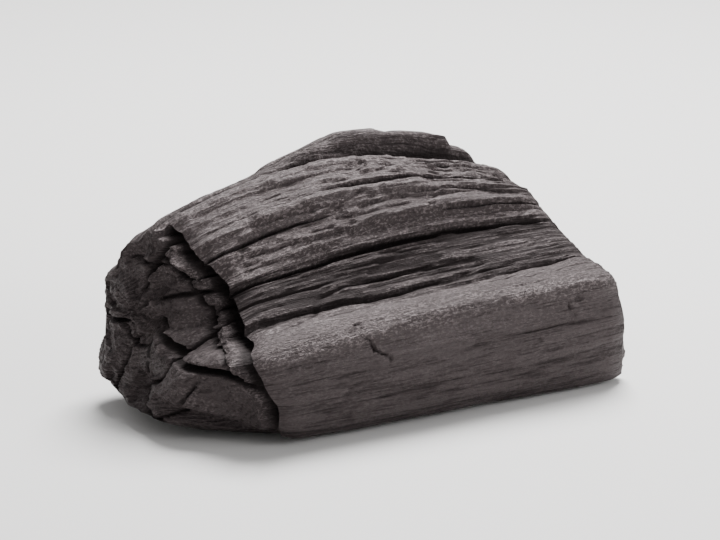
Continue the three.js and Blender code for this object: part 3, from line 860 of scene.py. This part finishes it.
# The grain of a broken end: growth rings round the pith, and bundles of fibres, each with a height of its own
def endGrainGroup():
    tree = bpy.data.node_groups.new("endGrain", "ShaderNodeTree")
    tree.interface.new_socket("Wood Place", in_out="INPUT", socket_type="NodeSocketVector")
    tree.interface.new_socket("Ring Scale", in_out="INPUT", socket_type="NodeSocketFloat")
    tree.interface.new_socket("Bundles Each Metre", in_out="INPUT", socket_type="NodeSocketVector")
    tree.interface.new_socket("Ring", in_out="OUTPUT", socket_type="NodeSocketFloat")
    tree.interface.new_socket("Bundle", in_out="OUTPUT", socket_type="NodeSocketFloat")
    given, result = tree.nodes.new("NodeGroupInput"), tree.nodes.new("NodeGroupOutput")
    wood = given.outputs["Wood Place"]
    pithY, pithZ = lump["pith"]
    ring = addNode(
        tree,
        "ShaderNodeTexWave",
        {"wave_type": "RINGS", "rings_direction": "X"},
        Vector=vectorNode(tree, "SUBTRACT", wood, (0, pithY * millimetre, pithZ * millimetre)),
        Scale=given.outputs["Ring Scale"],
        **charFinish["ringBends"],
    )
    inBundles = vectorNode(tree, "MULTIPLY", wood, given.outputs["Bundles Each Metre"])
    bundle = addNode(tree, "ShaderNodeTexVoronoi", Vector=inBundles, Scale=1)
    parts = addNode(tree, "ShaderNodeSeparateColor", Color=bundle.outputs["Color"])
    tree.links.new(ring.outputs["Fac"], result.inputs["Ring"])
    tree.links.new(parts.outputs[0], result.inputs["Bundle"])
    return tree


# The finish of the charred wood. A pair called a step is the value up to which something doesn't show, and
# the one from which it shows fully.
charFinish = {
    # The first colour is painted shade, laid in the splits, pits and the left end's crack
    "shadeColour": (0.003, 0.0024, 0.0024, 1),
    "char": (0.0076, 0.006, 0.0061, 1),
    "fibre": (0.037, 0.0303, 0.0307, 1),
    "ash": (0.13, 0.11, 0.1105, 1),
    "sheen": 0.36,
    "sheenColour": (1.0, 0.83, 0.835, 1),
    "smooth": 0.46,
    "rough": 0.82,
    "streaks": {  # cells each metre along the grain and across it twice, and the detail
        "fine": (95, 1900, 1900, 3),
        "middle": (40, 800, 800, 3),
        "broad": (10, 60, 60, 2),
        "dust": (850, 1500, 1500, 3),
        "dustPatches": (30, 120, 120, 2),
    },
    "streakRoughness": 0.7,
    "ringScale": 150,
    "ringBends": {"Distortion": 7, "Detail": 3, "Detail_Scale": 0.9},
    "bundles": (35, 1150, 1150),
    "sideGrain": {"middle": 0.35, "fine": 0.65},  # what goes into a tone, with its share, here and below
    "endGrain": {"fine": 0.55, "ring": 0.24, "bundle": 0.28},
    "lift": {"broad": 0.2, "highGrain": 0.22},
    "leastLift": 0.05,
    "levelLift": 0.18,  # the lift that leaves the grain's tone as it is
    "fibreStep": (0.34, 0.64),
    "dustSpotStep": (0.5, 0.62),
    "dustToneStep": (0.38, 0.62),
    "dustPatchStep": (0.36, 0.56),
    "dustInPatch": (0.65, 0.35),  # how much more dust a patch holds, and how much the rest does
    "shadeStep": (0.05, 0.75),
    "glossDust": 0.7,
    "glossStep": (0.72, 1.02),
    "dustRelief": (0.4, 0.2),  # with the dust held, and everywhere
    "bumpReach": 0.9,  # mm
}


# The streaks that the finish lists under this name
def useStreaks(tree, group, wood, name):
    *cellsEach, detail = charFinish["streaks"][name]
    values = {"Wood_Place": wood, "Cells_Each_Metre": cellsEach, "Detail": detail}
    return addNode(tree, "ShaderNodeGroup", {"node_tree": group}, **values).outputs["Streak"]


# The sum of the tones that it lists under this name, each times its share
def mixTones(tree, tones, name):
    total = 0.0
    for part, share in charFinish[name].items():
        total = mathNode(tree, "MULTIPLY_ADD", tones[part], share, total)
    return total


# Charred wood: painted shade in the splits, dull char, lighter and smoother fibres, and ash dust on the high
# grain and where painted light lies
def charMaterial(streaks, endGrain):
    material = bpy.data.materials.new("charredWood")
    material.use_nodes = True
    tree = material.node_tree
    shader = tree.nodes["Principled BSDF"]
    wood = addNode(tree, "ShaderNodeAttribute", {"attribute_name": "wood"}).outputs["Vector"]
    creviceShade, brokenEnd, highGrain, dustHeld = (
        addNode(tree, "ShaderNodeAttribute", {"attribute_name": name}).outputs["Fac"]
        for name in ("creviceShade", "brokenEnd", "highGrain", "dustHeld")
    )
    broken = addNode(
        tree,
        "ShaderNodeGroup",
        {"node_tree": endGrain},
        Wood_Place=wood,
        Ring_Scale=charFinish["ringScale"],
        Bundles_Each_Metre=charFinish["bundles"],
    )
    tones = {name: useStreaks(tree, streaks, wood, name) for name in charFinish["streaks"]}
    tones.update(ring=broken.outputs["Ring"], bundle=broken.outputs["Bundle"], highGrain=highGrain)
    dust = tones["dust"]

    sideShare = mathNode(tree, "SUBTRACT", 1.0, brokenEnd)
    onSide = mathNode(tree, "MULTIPLY", mixTones(tree, tones, "sideGrain"), sideShare)
    grain = mathNode(tree, "MULTIPLY_ADD", mixTones(tree, tones, "endGrain"), brokenEnd, onSide)
    lift = mathNode(tree, "MAXIMUM", mixTones(tree, tones, "lift"), charFinish["leastLift"])
    tone = mathNode(tree, "ADD", grain, mathNode(tree, "SUBTRACT", lift, charFinish["levelLift"]))
    fibrous = stepNode(tree, tone, *charFinish["fibreStep"])
    colour = mixColours(tree, fibrous, charFinish["char"], charFinish["fibre"])

    patches = stepNode(tree, tones["dustPatches"], *charFinish["dustPatchStep"])
    spots = stepNode(tree, dust, *charFinish["dustSpotStep"])
    dusty = mathNode(tree, "MULTIPLY", spots, stepNode(tree, tone, *charFinish["dustToneStep"]))
    inPatches = mathNode(tree, "MULTIPLY_ADD", patches, *charFinish["dustInPatch"])
    held = mathNode(tree, "MULTIPLY", dustHeld, inPatches)
    colour = mixColours(tree, mathNode(tree, "MULTIPLY", dusty, held), colour, charFinish["ash"])
    # Painted shade: the splits, pits and the left end's crack are darkened to the shade colour
    shadeShare = stepNode(tree, creviceShade, *charFinish["shadeStep"])
    colour = mixColours(tree, shadeShare, colour, charFinish["shadeColour"])
    tree.links.new(colour, shader.inputs["Base Color"])
    shader.inputs["Specular IOR Level"].default_value = charFinish["sheen"]
    shader.inputs["Specular Tint"].default_value = charFinish["sheenColour"]

    glossy = mathNode(tree, "MULTIPLY_ADD", dust, charFinish["glossDust"], tone)
    gloss = stepNode(tree, glossy, *charFinish["glossStep"])
    roughness = addNode(
        tree,
        "ShaderNodeMapRange",
        Value=mathNode(tree, "MULTIPLY", gloss, mathNode(tree, "SUBTRACT", 1.0, creviceShade)),
        To_Min=charFinish["rough"],
        To_Max=charFinish["smooth"],
    )
    tree.links.new(roughness.outputs[0], shader.inputs["Roughness"])
    dustReach = mathNode(tree, "MULTIPLY_ADD", dustHeld, *charFinish["dustRelief"])
    height = mathNode(tree, "MULTIPLY_ADD", dust, dustReach, grain)
    reach = charFinish["bumpReach"] * millimetre
    bump = addNode(tree, "ShaderNodeBump", Strength=1, Distance=reach, Height=height)
    tree.links.new(bump.outputs[0], shader.inputs["Normal"])
    print("charred finish:", len(tree.nodes), "nodes")
    return material


skin = buildLump()
skin.data.materials.append(charMaterial(streakGroup(), endGrainGroup()))
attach(skin, "root")
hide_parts("charcoal_lump")

studio = {
    "floorSize": 6.0,
    "floorColour": (0.72, 0.711, 0.702, 1),
    "floorRoughness": 0.6,
    "sky": (1, 1, 1, 1),
    "skyStrength": 0.45,
    "keyLight": {"position": (0.3, 0.3, 0.8), "size": (0.45, 0.45), "watts": 26},
    "fillLight": {"position": (0.7, -0.8, 0.5), "size": (0.6, 0.5), "watts": 6},
    "azimuth": -29.0,  # the photograph's view of the lump: from the front left
    "elevation": 18.0,
    "lens": 150.0,
    "distance": 0.9,
}


def buildFloor():
    half = studio["floorSize"] / 2
    mesh = bpy.data.meshes.new("floor")
    corners = [(-half, -half, 0), (half, -half, 0), (half, half, 0), (-half, half, 0)]
    mesh.from_pydata(corners, [], [(0, 1, 2, 3)])
    floor = bpy.data.objects.new("floor", mesh)
    bpy.context.scene.collection.objects.link(floor)
    material = bpy.data.materials.new("paleFloor")
    material.use_nodes = True
    shader = material.node_tree.nodes["Principled BSDF"]
    shader.inputs["Base Color"].default_value = studio["floorColour"]
    shader.inputs["Roughness"].default_value = studio["floorRoughness"]
    mesh.materials.append(material)


def aim(piece, direction):
    piece.rotation_euler = Vector(direction).to_track_quat("-Z", "Y").to_euler()


def addSoftbox(name, target):
    box = studio[name]
    light = bpy.data.lights.new(name, "AREA")
    light.shape = "RECTANGLE"
    light.size, light.size_y = box["size"]
    light.energy = box["watts"]
    piece = bpy.data.objects.new(name, light)
    bpy.context.scene.collection.objects.link(piece)
    piece.location = box["position"]
    aim(piece, target - np.array(box["position"]))


def buildStudio(centre):
    world = bpy.data.worlds.new("studio")
    world.use_nodes = True
    world.node_tree.nodes["Background"].inputs["Color"].default_value = studio["sky"]
    world.node_tree.nodes["Background"].inputs["Strength"].default_value = studio["skyStrength"]
    bpy.context.scene.world = world
    addSoftbox("keyLight", centre)
    addSoftbox("fillLight", centre)
    print("studio: a floor, a sky and two soft lights")


def buildCamera(centre):
    a, e = math.radians(studio["azimuth"]), math.radians(studio["elevation"])
    back = np.array([math.sin(a) * math.cos(e), -math.cos(a) * math.cos(e), math.sin(e)])
    camera = bpy.data.cameras.new("camera")
    camera.lens = studio["lens"]
    piece = bpy.data.objects.new("camera", camera)
    bpy.context.scene.collection.objects.link(piece)
    piece.location = centre + back * studio["distance"]
    aim(piece, -back)
    bpy.context.scene.camera = piece


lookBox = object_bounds()
lumpCentre = (np.array(lookBox[0]) + np.array(lookBox[1])) / 2
buildFloor()
buildStudio(lumpCentre)
buildCamera(lumpCentre)
